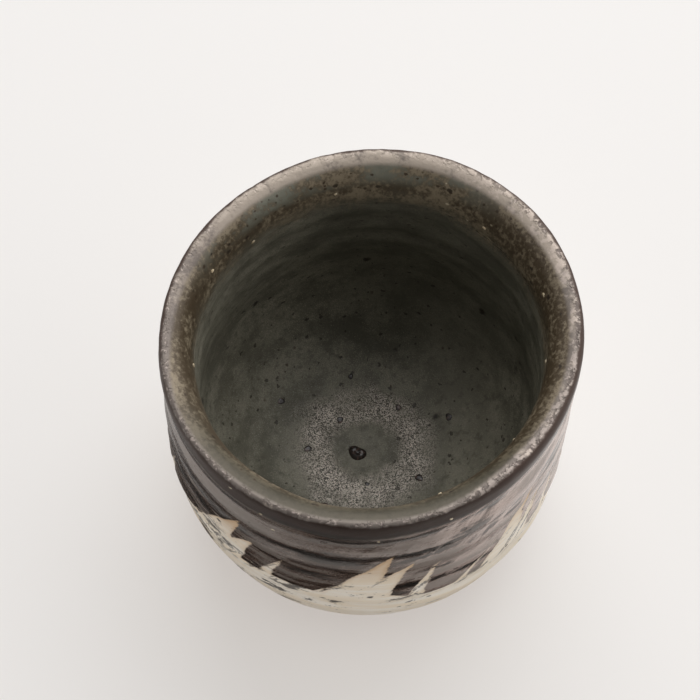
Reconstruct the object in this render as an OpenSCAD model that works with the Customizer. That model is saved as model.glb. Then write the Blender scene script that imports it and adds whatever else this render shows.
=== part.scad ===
// Yunomi teacup: a thrown stoneware cup on a foot ring, with a grey-green glaze inside,
// a dark iron glaze outside and cream slip swept up in licks round the lower wall.
// Millimetres. The origin is the middle of the face that it rests on, with +Z up.

/* [Cup] */
// Diameter over the glazed lip
rim_d = 80; // [72:0.5:90]
// Height from the resting face to the top of the lip
cup_h = 70; // [62:0.5:86]
// Diameter of the glazed wall where it is fullest
belly_d = 80; // [76:0.5:92]
// Height of the fullest place above the resting face
belly_h = 35; // [28:0.5:44]
// How square the wall turns in to the foot: 2 is an ellipse, more is squarer
hip_fullness = 2.5; // [2:0.1:3.2]
// Thickness of the glazed wall, from its foot up to the lip's rounded inside
wall_t = 6.5; // [5.5:0.1:9]
// Thickness of the glazed floor in the middle
floor_t = 8.5; // [6:0.1:11]

/* [Lip] */
// How far in from the outside the crest of the lip lies
lip_w = 1.6; // [1.2:0.1:2.5]
// Height of the rounded outside of the lip
lip_rise = 2.4; // [1.8:0.1:4]
// Depth of the finger groove under the lip, outside
neck_depth = 0.7; // [0.2:0.05:1.2]
// Height of the finger groove
neck_w = 7.5; // [5:0.1:11]
// Depth of the rounded inside of the lip, down to where the wall reaches its full thickness
throat_drop = 13; // [8:0.5:16]

/* [Inside] */
// Height over which the inside wall turns into the floor
bowl_rise = 24; // [18:0.5:28]
// How square that turn is: 2 is an ellipse, more is squarer
bowl_fullness = 2.5; // [2:0.1:3.2]
// Diameter of the shallow pool in the middle of the floor
pool_d = 22; // [14:0.5:30]
// Depth of the pool
pool_depth = 0.8; // [0.3:0.1:1.5]

/* [Throwing marks] */
// Height from one throwing ridge to the next, outside
ridge_pitch = 8.5; // [6:0.5:12]
// Height of those ridges above the mean wall
ridge_a = 0.28; // [0.1:0.02:0.5]
// Height from one throwing ridge to the next, inside
inner_pitch = 7; // [5:0.5:10]
// Height of the inside ridges
inner_a = 0.15; // [0.05:0.01:0.3]

/* [Foot] */
// Outer diameter of the foot ring
foot_d = 50; // [42:0.5:58]
// Height of the foot ring
foot_h = 5.5; // [4:0.1:8]
// Width of the face that the cup rests on
foot_face_w = 4; // [2.5:0.1:6]
// How far each side of the ring slopes out towards the body
foot_slope = 0.9; // [0.3:0.1:1.6]
// Bevel on the edges of the resting face
foot_bevel = 0.7; // [0.3:0.1:1.2]
// Width of the ledge that the body leaves outside the ring
foot_ledge = 1.2; // [0.5:0.1:3]

/* [Coats] */
// Thickness of the slip and of the iron glaze
outer_t = 0.55; // [0.3:0.05:1]
// Thickness of the liner glaze
liner_t = 0.65; // [0.3:0.05:1.1]
// Height of the lower edge of the slip above the resting face
slip_low_h = 9.5; // [8.5:0.5:14]
// Height of the upper edge of the slip, where the licks begin
slip_top_h = 30; // [24:0.5:36]
// How far down inside the lip the iron glaze laps
lap_drop = 11; // [6:0.5:16]

/* [Licks] */
// Number of groups of licks round the cup: a tall one, a side one that it grows out of, and a slim finger
lick_n = 8; // [4:1:9]
// Direction of the tip of the tallest lick
lick_turn = -79; // [-180:1:180]
// Size of the smallest group beside the largest
lick_least = 0.72; // [0.5:0.02:1]
// Height of the tall lick above the slip's upper edge
lick_l = 25; // [16:0.5:28]
// Width of the tall lick at its root
lick_w = 12; // [8:0.5:14]
// How far the tip of the tall lick leans round the cup
lick_lean = 10; // [5:0.5:14]
// Height of the side lick
side_l = 17.5; // [12:0.5:20]
// Width of the side lick at its root
side_w = 10; // [6:0.5:12]
// How far the tip of the side lick leans
side_lean = 9; // [5:0.5:12]
// How far round from the tall lick's tip the side lick's tip lies
side_step = 2.8; // [1.5:0.1:4]
// Height of the finger
finger_l = 16; // [10:0.5:20]
// Width of the finger at its root
finger_w = 3.4; // [2.4:0.1:4.5]
// How far the tip of the finger leans
finger_lean = 5; // [3:0.5:8]
// How far round from the tall lick's tip the finger's tip lies
finger_step = 9; // [8:0.5:12]
// Radius of the sweep on a lick's upper side
lick_back_r = 150; // [60:5:200]
// Radius of the scoop on a lick's under side
lick_scoop_r = 90; // [45:5:150]

/* [Grains] */
// Number of feldspar grains that show inside the lip, and again outside
grain_n = 11; // [4:1:20]
// Diameter of the largest grain
grain_d = 1.2; // [0.7:0.1:1.8]
// Size of the smallest grain or bead beside the largest
grain_least = 0.6; // [0.4:0.05:1]
// Diameter of the iron blister on the floor
blister_d = 3.6; // [2:0.1:5]
// Height of the blister above the floor
blister_h = 0.7; // [0.4:0.05:1.2]
// Diameter of the crater in the blister
crater_d = 1.6; // [0.8:0.1:1.8]
// Distance of the blister from the middle of the floor
blister_r = 2.5; // [0:0.5:8]
// Direction of the blister from the middle of the floor
blister_turn = -130; // [-180:5:180]
// Number of small iron beads round the blister
bead_n = 9; // [3:1:16]
// Diameter of the largest small bead
bead_d = 1.7; // [0.8:0.1:2.2]
// Height of the small beads above the floor
bead_h = 0.25; // [0.15:0.05:0.5]
// How far out beyond the blister the beads lie
bead_field = 13.5; // [6:0.5:16]

/* [Hidden] */
$fn = 96;

// Step between points along an outline, in degrees of its own sweep
outline_step = 5;
// Steps over the rounded outside of the lip, and over its rounded inside
lip_steps = 6;
roll_steps = 12;
// Steps on the inside wall for each throwing ridge, and from there over the turn into the floor
ridge_steps = 5;
bowl_steps = 15;
// Least distance between neighbouring points of an outline
point_gap = 0.2;
// Turn from one grain or bead to the next, which spreads them evenly without rows
golden_turn = 137.508;
// How far a cutter reaches past what it cuts
cut_past = 1;

rim_r = rim_d / 2;
belly_r = belly_d / 2;
foot_r = foot_d / 2;
seat_r = foot_r + foot_slope + foot_ledge;
base_h = foot_h - outer_t;
lip_h = cup_h - lip_rise;
neck_h = lip_h - neck_w / 2;
floor_h = foot_h + floor_t;
bowl_h = floor_h + bowl_rise;
crest_r = rim_r - lip_w;
throat_h = cup_h - throat_drop;
// Radius of the inside at the foot of its wall, and where the lip's rounded inside begins
bore_r = plain_r(bowl_h) - wall_t;
throat_r = plain_r(throat_h) - wall_t;
lap_h = cup_h - lap_drop;

function clamp01(x) = min(1, max(0, x));
function ease(x) = let (c = clamp01(x)) c * c * (3 - 2 * c);
function swell(x) = abs(x) < 1 ? (1 + cos(180 * x)) / 2 : 0;
function spaced(a, b) =
    let (n = max(1, ceil(abs(b - a) / outline_step))) [for (i = [0:n]) a + (b - a) * i / n];
function tail(list) = [for (i = [1:len(list) - 1]) list[i]];
function part_of(list, a, b) = [for (i = [a:b]) list[i]];
// Sizes of a set that vary without a visible order, from the least up to 1 for the first
function size_of(i, least) = least + (1 - least) * abs(cos(golden_turn * i));
function reversed(list) = [for (i = [len(list) - 1:-1:0]) list[i]];

// A point on a quarter of a squared ellipse, at an angle up from its long side
function squared(phi, a, b, power) =
    let (k = pow(pow(cos(phi) / a, power) + pow(sin(phi) / b, power), -1 / power))
    [k * cos(phi), k * sin(phi)];

// Throwing ridges fade out towards the two ends of the wall that carries them
function ridge(h, low, high, pitch, rise) =
    rise * cos(360 * (h - low) / pitch) * clamp01((h - low) / pitch) * clamp01((high - h) / pitch);

// The outside, from the foot at 0 by the fullest place at 90 to the lip at 180
function hip_point(s) = squared(90 - s, belly_r - seat_r, belly_h - base_h, hip_fullness);
function plain_r(h) = belly_r + (rim_r - belly_r) * ease((h - belly_h) / (lip_h - belly_h));
function wall_r(h) = plain_r(h) - neck_depth * swell((h - neck_h) / (neck_w / 2));
function outer_plain(s) = s < 90
    ? [seat_r + hip_point(s)[0], belly_h - hip_point(s)[1]]
    : let (h = belly_h + (lip_h - belly_h) * (s - 90) / 90) [wall_r(h), h];
function outer_at(s) =
    let (p = outer_plain(s)) [p[0] + ridge(p[1], base_h, lip_h, ridge_pitch, ridge_a), p[1]];
function outer_sweep(h) = h < belly_h
    ? let (up = (belly_h - h) / (belly_h - base_h),
           out = (belly_r - seat_r) * pow(1 - pow(up, hip_fullness), 1 / hip_fullness))
      90 - atan2(belly_h - h, out)
    : 90 + 90 * (h - belly_h) / (lip_h - belly_h);

// The rounded outside of the lip, up to its crest at 90
function lip_at(s) = [crest_r + lip_w * cos(s), lip_h + lip_rise * sin(s)];

// The inside, from the crest of the lip over its rounded inside and down the wall
function bore_at(h) = h > throat_h
    ? crest_r - (crest_r - throat_r) * sqrt(max(0, 1 - pow((h - throat_h) / throat_drop, 2)))
    : plain_r(h) - wall_t + ridge(h, bowl_h, throat_h, inner_pitch, inner_a);
bore_steps = ceil((throat_h - bowl_h) / inner_pitch * ridge_steps);
inner_heights = concat(
    [for (i = [1:roll_steps]) throat_h + throat_drop * cos(90 * i / roll_steps)],
    [for (i = [1:bore_steps]) throat_h - (throat_h - bowl_h) * i / bore_steps]);

// The turn into the floor, from the foot of the wall at 0 to the middle of the floor at 90
function pool(r) = pool_depth * swell(r / (pool_d / 2));
function bowl_at(phi) = phi == 90
    ? [0, floor_h - pool_depth]
    : let (p = squared(phi, bore_r, bowl_rise, bowl_fullness)) [p[0], bowl_h - p[1] - pool(p[0])];
function floor_at(r) =
    bowl_h - bowl_rise * pow(1 - pow(r / bore_r, bowl_fullness), 1 / bowl_fullness) - pool(r);

// The glazed outline in four stretches that share their end points: bare clay, slip, iron glaze and liner
bare_line = [for (s = spaced(0, outer_sweep(slip_low_h))) outer_at(s)];
slip_line = [for (s = spaced(outer_sweep(slip_low_h), outer_sweep(slip_top_h))) outer_at(s)];
upper_line = [for (s = spaced(outer_sweep(slip_top_h), 180)) outer_at(s)];
lip_line = [for (i = [0:lip_steps]) lip_at(90 * i / lip_steps)];
lap_end = [bore_at(lap_h), lap_h];
lap_line = concat([for (h = inner_heights) if (h > lap_h + point_gap) [bore_at(h), h]], [lap_end]);
iron_line = concat(upper_line, tail(lip_line), lap_line);
wall_line = [for (h = inner_heights) if (h < lap_h - point_gap) [bore_at(h), h]];
bowl_line = [for (i = [0:bowl_steps]) bowl_at(90 * i / bowl_steps)];
liner_line = concat([lap_end], wall_line, tail(bowl_line));
glazed = concat(bare_line, tail(slip_line), tail(iron_line), tail(liner_line));
slip_from = len(bare_line) - 1;
iron_from = slip_from + len(slip_line) - 1;
liner_from = iron_from + len(iron_line) - 1;
last = len(glazed) - 1;

// Which way the outline faces at a point, and how thick the coat is there
function facing(i) = i == 0 ? [0, -1] : i == last ? [0, 1] :
    let (d = glazed[i + 1] - glazed[i - 1]) [d[1], -d[0]] / norm(d);
function coat_t(i) = i < liner_from
    ? outer_t + (liner_t - outer_t) * ease((i - iron_from) / (liner_from - iron_from))
    : liner_t;
clay = [for (i = [0:last]) glazed[i] - coat_t(i) * facing(i)];

// A coat over a stretch of the outline, lying on the clay
module coat(a, b) {
    rotate_extrude() polygon(concat(part_of(glazed, a, b), reversed(part_of(clay, a, b))));
}

// The whole cup with its coats, to seat what stands on the glaze
module glazed_cup() {
    rotate_extrude() polygon(concat([[0, base_h]], glazed));
}

// Middle of the circle of radius r through p and q, on the right of the way from p to q
function circle_middle(p, q, r) =
    let (d = q - p, half = norm(d) / 2) (p + q) / 2 + [d[1], -d[0]] / (2 * half) * sqrt(r * r - half * half);

// Degrees round the cup for a length along its fullest place
function turn_of(length) = length / belly_r * 180 / PI;

// One lick as a cutter: a fin that leans round the cup, from the middle of the wall out through the coat.
// Its root reaches below the slip's edge, where the coat that it cuts ends.
module lick(rise, width, lean) {
    tip = [lean, rise];
    root = width / 2;
    back = circle_middle([-root, 0], tip, lick_back_r);
    scoop = circle_middle([root, 0], tip, lick_scoop_r);
    start_r = min(bore_r, throat_r) + wall_t / 2;
    reach = max(belly_r, rim_r) + wall_t / 2 - start_r;
    rotate([90, 0, 90]) translate([0, 0, start_r]) difference() {
        intersection() {
            translate([-root - cut_past, -cut_past, 0])
                cube([tip[0] + root + 2 * cut_past, tip[1] + 2 * cut_past, reach]);
            translate([back[0], back[1], 0]) cylinder(r = lick_back_r, h = reach);
        }
        translate([scoop[0], scoop[1], -cut_past]) cylinder(r = lick_scoop_r, h = reach + 2 * cut_past);
    }
}

// A lick whose tip lies a step round from where it is called
module lick_at(step, size, rise, width, lean) {
    rotate(turn_of(step - size * lean)) lick(size * rise, size * width, size * lean);
}

module licks() {
    for (i = [0:lick_n - 1]) {
        size = size_of(i, lick_least);
        rotate(lick_turn - 360 * i / lick_n) translate([0, 0, slip_top_h]) {
            lick_at(0, size, lick_l, lick_w, lick_lean);
            lick_at(side_step, size, side_l, side_w, side_lean);
            lick_at(finger_step, size, finger_l, finger_w, finger_lean);
        }
    }
}

// Cutters for the grains: each goes right through the wall and shows a grain inside the lip and one outside
module grains() {
    spread = lip_h - lap_h - 2 * grain_d;
    for (i = [0:grain_n - 1])
        rotate(golden_turn * i) translate([throat_r - wall_t, 0, lap_h + grain_d + spread * i / grain_n])
            rotate([0, 90, 0]) cylinder(d = grain_d * size_of(i, grain_least), h = 3 * wall_t);
}

module thrown_body() {
    color("rosybrown") rotate_extrude() polygon(concat([[0, foot_h]], clay));
}

module foot_ring() {
    inner_r = foot_r - foot_face_w - 2 * foot_bevel;
    color("tan") rotate_extrude() polygon([
        [inner_r, foot_bevel], [inner_r + foot_bevel, 0],
        [foot_r - foot_bevel, 0], [foot_r, foot_bevel],
        [foot_r + foot_slope, foot_h], [inner_r - foot_slope, foot_h]]);
}

module white_slip() {
    color("bisque") coat(slip_from, iron_from);
}

module slip_licks() {
    color("antiquewhite") intersection() {
        coat(iron_from, liner_from);
        licks();
    }
}

module iron_glaze() {
    color("#3a2a28") difference() {
        coat(iron_from, liner_from);
        licks();
        grains();
    }
}

module liner_glaze() {
    color("#5d645e") coat(liner_from, last);
}

// A round cap of the given width and height, on the floor at radius r
module floor_cap(r, d, h) {
    ball_r = (d * d / 4 + h * h) / (2 * h);
    translate([r, 0, floor_at(r) + h - ball_r]) sphere(r = ball_r);
}

module iron_melts() {
    color("#2a2320") difference() {
        union() {
            rotate(blister_turn) floor_cap(blister_r, blister_d, blister_h);
            for (i = [1:bead_n])
                rotate(golden_turn * i)
                    floor_cap(blister_r + blister_d + bead_field * i / bead_n,
                              bead_d * size_of(i, grain_least), bead_h);
        }
        glazed_cup();
        rotate(blister_turn) translate([blister_r, 0, floor_at(blister_r) + blister_h])
            sphere(d = crater_d);
    }
}

// Each grain lies in the iron glaze, flush with it
module feldspar_grains() {
    color("wheat") intersection() {
        coat(iron_from, liner_from);
        grains();
    }
}

thrown_body();
foot_ring();
white_slip();
slip_licks();
iron_glaze();
liner_glaze();
iron_melts();
feldspar_grains();
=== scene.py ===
"""A thrown stoneware yunomi: dark iron glaze outside, cream slip licks below it and a grey-green liner."""
import math

import bpy
import numpy as np
from mathutils import Matrix, Vector


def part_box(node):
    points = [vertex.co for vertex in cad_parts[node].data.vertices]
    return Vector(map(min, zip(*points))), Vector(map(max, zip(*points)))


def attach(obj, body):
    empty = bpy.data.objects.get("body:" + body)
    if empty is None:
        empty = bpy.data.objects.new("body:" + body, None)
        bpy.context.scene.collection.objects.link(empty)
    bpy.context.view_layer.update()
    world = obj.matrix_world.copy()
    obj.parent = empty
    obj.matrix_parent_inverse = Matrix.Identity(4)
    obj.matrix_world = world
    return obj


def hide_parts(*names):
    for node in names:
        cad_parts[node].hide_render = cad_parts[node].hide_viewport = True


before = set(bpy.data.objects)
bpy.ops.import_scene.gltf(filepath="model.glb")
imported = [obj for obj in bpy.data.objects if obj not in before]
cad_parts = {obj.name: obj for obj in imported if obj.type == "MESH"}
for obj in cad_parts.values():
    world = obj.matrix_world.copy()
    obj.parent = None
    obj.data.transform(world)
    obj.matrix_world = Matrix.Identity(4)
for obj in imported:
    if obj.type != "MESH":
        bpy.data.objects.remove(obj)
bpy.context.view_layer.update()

# Sizes in millimetres, from the frame where it can tell them
MM = 0.001
LOW = 0
HIGH = 1


def reach(node, side, axis):
    """A node's lowest or highest coordinate along an axis, in millimetres."""
    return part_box(node)[side]["xyz".index(axis)] / MM


CUP_H = reach("iron_glaze", HIGH, "z")
SLIP_LOW_H = reach("white_slip", LOW, "z")
SLIP_TOP_H = reach("slip_licks", LOW, "z")
LAP_H = reach("liner_glaze", HIGH, "z")
FOOT_H = reach("foot_ring", HIGH, "z")
FOOT_TOP_R = reach("foot_ring", HIGH, "x")

# The cup's own outline
RIM_R = 40
BELLY_R = 40
BELLY_H = 35
HIP_FULLNESS = 2.5
WALL_T = 6.5
FLOOR_T = 8.5
LIP_W = 0.8
LIP_RISE = 2.4
NECK_DEPTH = 0.6
NECK_ABOVE = 8.5
NECK_BELOW = 7
THROAT_DROP = 9
BOWL_RISE = 24
BOWL_FULLNESS = 2.5
POOL_R = 11
POOL_DEPTH = 0.8
RIDGE_PITCH = 8.5
RIDGE_RISE = 0.12
INNER_PITCH = 7
INNER_RISE = 0.15
OUTER_T = 0.55
LINER_T = 0.65
FOOT_SLOPE = 0.9
FOOT_BEVEL = 0.7
FOOT_FACE_W = 4
FOOT_LEDGE = 1.2
FOOT_R = FOOT_TOP_R - FOOT_SLOPE
SEAT_R = FOOT_TOP_R + FOOT_LEDGE
BASE_H = FOOT_H - OUTER_T
LIP_H = CUP_H - LIP_RISE
NECK_H = LIP_H - NECK_ABOVE
BOWL_H = FOOT_H + FLOOR_T + BOWL_RISE
BORE_R = BELLY_R - WALL_T
CREST_R = RIM_R - LIP_W
THROAT_H = CUP_H - THROAT_DROP

# How the hands left it: a little oval above the turned foot, with a lip that isn't quite level
OVAL_ALONG = 0.005
OVAL_ACROSS = 0.024
OVAL_FULL_H = 60
LIP_WAVE = 0.22

# Meshes: columns round the cup, and the step between rows
COLUMNS = 480
COAT_STEP = 0.5
LINER_STEP = 0.6
CLAY_STEP = 1.2
CLAY_COLUMNS = 192
FINE_STEP = 0.05
LIP_STEPS = 60
ROLL_STEPS = 240
BOWL_STEPS = 900
UNDERSIDE_STEPS = 24
CAP_COLUMNS = 24
CAP_STEP = 0.01
SHARP_EDGE = math.radians(55)
TINY = 1e-9
LUMP_CELLS = 32
GOLDEN_TURN = math.radians(137.508)

# Lumps in the glaze: the rise, size and seed of each random pattern
SWELLS = (0.14, 13, 1)
STREAKS = (0.18, (15, 15, 5), 2)
SKIN = (0.03, 1.4, 3)
LIP_BEADS = (0.05, 1.7, 4)
LINER_SWELLS = (0.10, 12, 11)
LINER_WIPES = (0.03, (8, 8, 1.6), 12)
LINER_SKIN = (0.02, 1.5, 13)
LIP_BEADS_MIDDLE = -1
LIP_BEADS_REACH = 3.2

# Pits in the iron glaze, and the drop from it to the slip
PIT_SEED = 5
PIT_COUNT = 70
PIT_W = 0.8
PIT_DEPTH = 0.22
SLIP_DROP = 0.14
SLIP_DROP_W = 0.8

# How the groups of licks lie round the cup, the arcs that bound a lick, and the slip's edge between them
LICK_GROUPS = 8
LICK_LEAST = 0.72
LICK_TURN = math.radians(-79)
LICK_BACK_R = 150
LICK_SCOOP_R = 90
LICK_TOP_ROOM = 0.3
LICK_TIP_ROOM = 0.6
SLIP_EDGE_RISE = 1.5
SLIP_EDGE_WAVE = 1.4
NOT_SLIP = -99.0

# One group of licks. Each has its tip's place round from the tallest one's, its rise, root width and lean.
LICKS = {
    "tall": (0, 25, 12, 10),
    "short": (2.8, 17.5, 10, 9),
    "finger": (9, 16, 3.4, 5),
    "streak": (21, 10, 1.8, 7.5),
}


# Outline
def ease(x):
    """Goes smoothly from 0 to 1."""
    x = np.clip(x, 0, 1)
    return x * x * (3 - 2 * x)


def swell(x):
    """A smooth hump of height 1 between -1 and 1."""
    return np.where(np.abs(x) < 1, (1 + np.cos(np.pi * np.clip(x, -1, 1))) / 2, 0)


def ridges(h, low, high, pitch, rise):
    """Throwing ridges, which fade out towards both ends of the wall."""
    fade = np.clip((h - low) / pitch, 0, 1) * np.clip((high - h) / pitch, 0, 1)
    return rise * np.cos(2 * np.pi * (h - low) / pitch) * fade


def outside_r(h):
    """Radius of the glazed outside at a height."""
    up = np.clip((BELLY_H - h) / (BELLY_H - BASE_H), 0, 1)
    hip = SEAT_R + (BELLY_R - SEAT_R) * (1 - up**HIP_FULLNESS) ** (1 / HIP_FULLNESS)
    wall = BELLY_R + (RIM_R - BELLY_R) * ease((h - BELLY_H) / (LIP_H - BELLY_H))
    wall = wall - NECK_DEPTH * swell((h - NECK_H) / np.where(h > NECK_H, NECK_ABOVE, NECK_BELOW))
    return np.where(h < BELLY_H, hip, wall) + ridges(h, BASE_H, LIP_H, RIDGE_PITCH, RIDGE_RISE)


def inside_r(h):
    """Radius of the glazed inside at a height: the wall, then the lip's rounded inside up to its crest."""
    up = np.clip((h - THROAT_H) / THROAT_DROP, 0, 1)
    roll = CREST_R - (CREST_R - BORE_R) * np.sqrt(1 - up * up)
    return np.where(h > THROAT_H, roll, BORE_R + ridges(h, BOWL_H, THROAT_H, INNER_PITCH, INNER_RISE))


def floor_h(r):
    """Height of the glazed floor at a radius, with the shallow pool in its middle."""
    turn = np.clip(1 - (np.clip(r, 0, BORE_R) / BORE_R) ** BOWL_FULLNESS, 0, 1) ** (1 / BOWL_FULLNESS)
    return BOWL_H - BOWL_RISE * turn - POOL_DEPTH * swell(r / POOL_R)


def outside_line(low, high):
    """The outside between two heights, as points of radius and height."""
    h = np.arange(low, high, FINE_STEP)
    return np.stack([outside_r(h), h], -1)


def lip_line():
    """The lip's rounded outside, up to its crest."""
    turn = np.linspace(0, np.pi / 2, LIP_STEPS)
    return np.stack([CREST_R + LIP_W * np.cos(turn), LIP_H + LIP_RISE * np.sin(turn)], -1)


def roll_line(low):
    """The inside from just below the crest down to a height, with steps that suit the lip's round top."""
    turn = np.linspace(0, np.pi / 2, ROLL_STEPS)[1:]
    below = np.arange(THROAT_H, BOWL_H, -FINE_STEP)[1:]
    h = np.concatenate([THROAT_H + THROAT_DROP * np.cos(turn), below])
    h = np.append(h[h > low + FINE_STEP / 2], low)
    return np.stack([inside_r(h), h], -1)


def bowl_line():
    """The rounded floor, from the wall to the middle."""
    turn = np.linspace(0, np.pi / 2, BOWL_STEPS)
    grow = (np.cos(turn) / BORE_R) ** BOWL_FULLNESS + (np.sin(turn) / BOWL_RISE) ** BOWL_FULLNESS
    r = grow ** (-1 / BOWL_FULLNESS) * np.cos(turn)
    r[-1] = 0
    return np.stack([r, floor_h(r)], -1)


def lengths(line):
    """Distance along a line from its start to each of its points."""
    return np.concatenate([[0], np.cumsum(np.linalg.norm(np.diff(line, axis=0), axis=1))])


def at_rows(line, rows):
    """Points of a line at fractional row numbers."""
    number = np.arange(len(line))
    return np.interp(rows, number, line[:, 0]), np.interp(rows, number, line[:, 1])


def evenly(line, step):
    """The same line with its points about a step apart."""
    along = lengths(line)
    wanted = np.linspace(0, along[-1], max(2, round(along[-1] / step) + 1))
    return np.stack([np.interp(wanted, along, line[:, 0]), np.interp(wanted, along, line[:, 1])], -1)


def facing(line):
    """Unit vectors square to a line, on the side of the glaze's face."""
    d = np.gradient(line, axis=0)
    d = d / np.linalg.norm(d, axis=1)[:, None]
    return np.stack([d[:, 1], -d[:, 0]], -1)


# Surface
def by_hand(radius, angle, height):
    """Points in space, as the hands left them."""
    share = ease((height - FOOT_H) / OVAL_FULL_H)
    stretch = 1 + share * (OVAL_ALONG * np.cos(2 * angle) + OVAL_ACROSS * np.sin(2 * angle))
    lift = LIP_WAVE * ease((height - BELLY_H) / (CUP_H - BELLY_H))
    lift = lift * (np.sin(2 * angle + 0.6) + 0.6 * np.sin(5 * angle))
    wide = radius * stretch
    return np.stack([wide * np.cos(angle), wide * np.sin(angle), height + lift], -1)


def lumps(points, rise, size, seed):
    """Smooth random heights at points, up and down to a rise, with lumps about that size across."""
    table = np.random.default_rng(seed).uniform(-1, 1, (LUMP_CELLS, LUMP_CELLS, LUMP_CELLS))
    at = points / np.asarray(size, float)
    cell = np.floor(at).astype(int)
    part = ease(at - cell)
    total = 0
    for corner in np.ndindex(2, 2, 2):
        weight = np.prod(np.where(corner, part, 1 - part), axis=-1)
        i, j, k = np.moveaxis((cell + corner) % LUMP_CELLS, -1, 0)
        total = total + weight * table[i, j, k]
    return rise * total


def grid_normals(points):
    """Normals of a grid that closes round its columns."""
    across = np.roll(points, -1, axis=1) - np.roll(points, 1, axis=1)
    along = np.gradient(points, axis=0)
    normal = np.cross(across, along)
    return normal / np.maximum(np.linalg.norm(normal, axis=-1, keepdims=True), TINY)


def circle_middle(p, q, r):
    """Middle of the circle of radius r through p and q, on the right of the way from p to q."""
    d = q - p
    half = np.linalg.norm(d) / 2
    return (p + q) / 2 + np.array([d[1], -d[0]]) / (2 * half) * math.sqrt(r * r - half * half)


def in_lick(x, h, rise, width, lean):
    """How deep inside a lick a place lies, from its tip's x and its root's h. Negative outside."""
    tip = np.array([0.0, rise])
    back = circle_middle(np.array([-lean - width / 2, 0]), tip, LICK_BACK_R)
    scoop = circle_middle(np.array([-lean + width / 2, 0]), tip, LICK_SCOOP_R)
    inside = LICK_BACK_R - np.hypot(x - back[0], h - back[1])
    clear = np.hypot(x - scoop[0], h - scoop[1]) - LICK_SCOOP_R
    return np.minimum.reduce([inside, clear, rise - h + LICK_TOP_ROOM, LICK_TIP_ROOM - x])


def in_licks(angle, height):
    """How deep inside the nearest lick a place on the wall lies."""
    best = np.full(np.shape(angle), NOT_SLIP)
    for group in range(LICK_GROUPS):
        tallest = LICK_TURN - 2 * math.pi * group / LICK_GROUPS
        size = LICK_LEAST + (1 - LICK_LEAST) * abs(math.cos(GOLDEN_TURN * group))
        for place, rise, width, lean in LICKS.values():
            turn = angle - tallest - place / BELLY_R
            x = (np.mod(turn + math.pi, 2 * math.pi) - math.pi) * BELLY_R
            depth = in_lick(x / size, (height - SLIP_TOP_H) / size, rise, width, lean) * size
            best = np.maximum(best, depth)
    return best


def slip_edge(angle):
    """Height of the upper edge of the slip between the licks."""
    wander = np.sin(3 * angle + 1.1) + 0.7 * np.sin(7 * angle) + 0.5 * np.sin(13 * angle + 2)
    return SLIP_TOP_H + SLIP_EDGE_RISE + SLIP_EDGE_WAVE * wander


def in_slip(angle, height):
    """How deep inside the slip a place on the wall lies. Negative in the iron glaze."""
    return np.maximum(slip_edge(angle) - height, in_licks(angle, height))


def snapped(field, rows, columns):
    """Moves grid points beside a field's zero line onto it, so that pieces part along a clean edge."""
    row = np.repeat(np.arange(rows, dtype=float)[:, None], columns, 1)
    turn = np.repeat(np.arange(columns, dtype=float)[None], rows, 0)
    moved = np.zeros(row.shape, bool)
    for axis, place in ((1, turn), (0, row)):
        after = np.roll(field, -1, axis)
        crosses = field * after < 0
        if axis == 0:
            crosses[-1] = False
        share = np.where(crosses, field / np.where(crosses, field - after, 1), 0)
        near = crosses & (share < 0.5) & ~moved
        place[near] += share[near]
        moved |= near
        far = np.roll(crosses & (share >= 0.5), 1, axis) & ~moved
        place[far] -= 1 - np.roll(share, 1, axis)[far]
        moved |= far
    return row, turn, np.where(moved, 0, field)


def pits(points):
    """Small round pits at random points of a surface, as heights to add."""
    draw = np.random.default_rng(PIT_SEED)
    flat = points.reshape(-1, 3)
    height = np.zeros(len(flat))
    for at in flat[draw.integers(0, len(flat), PIT_COUNT)]:
        wide = PIT_W * draw.uniform(0.5, 1)
        away = np.linalg.norm(flat - at, axis=1) / wide
        height -= PIT_DEPTH * draw.uniform(0.4, 1) * np.exp(-(away**2))
    return height.reshape(points.shape[:2])


# Meshes
def make_piece(name, points, faces, material, slot, node, numbers=None):
    """A smooth mesh that replaces a node. Points are in millimetres; numbers are values kept per point."""
    mesh = bpy.data.meshes.new(name)
    mesh.from_pydata((points * MM).tolist(), [], [list(f) for f in faces])
    mesh.polygons.foreach_set("use_smooth", np.ones(len(mesh.polygons), bool))
    mesh.set_sharp_from_angle(angle=SHARP_EDGE)
    for key, values in (numbers or {}).items():
        layer = mesh.attributes.new(key, "FLOAT", "POINT")
        layer.data.foreach_set("value", np.asarray(values, np.float32).ravel())
    mesh.materials.append(material)
    piece = bpy.data.objects.new(name, mesh)
    bpy.context.collection.objects.link(piece)
    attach(piece, "root")
    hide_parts(node)
    return piece


def coat_faces(mask):
    """Faces of a closed coat over the masked cells of a grid: its face, its back and its edges."""
    rows, columns = mask.shape
    face = np.arange((rows + 1) * columns).reshape(rows + 1, columns)
    back = face + face.size
    i, j = np.nonzero(mask)
    k = (j + 1) % columns
    ring = [(i, j), (i, k), (i + 1, k), (i + 1, j)]
    sheets = [np.stack([face[c] for c in ring], -1), np.stack([back[c] for c in ring[::-1]], -1)]
    padded = np.pad(mask, ((1, 1), (0, 0)))
    beside = [padded[i, j], mask[i, k], padded[i + 2, j], mask[i, j - 1]]
    for side, covered in enumerate(beside):
        a = tuple(v[~covered] for v in ring[side])
        b = tuple(v[~covered] for v in ring[(side + 1) % 4])
        sheets.append(np.stack([face[b], face[a], back[a], back[b]], -1))
    return np.concatenate(sheets)


def coat_piece(name, mask, surface, under, material, slot, numbers):
    """A closed coat between a surface and what it lies on, over the masked cells."""
    faces = coat_faces(mask)
    used, packed = np.unique(faces, return_inverse=True)
    points = np.concatenate([surface.reshape(-1, 3), under.reshape(-1, 3)])[used]
    kept = {key: np.tile(values.ravel(), 2)[used] for key, values in numbers.items()}
    return make_piece(name, points, packed.reshape(faces.shape), material, slot, name, kept)


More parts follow.
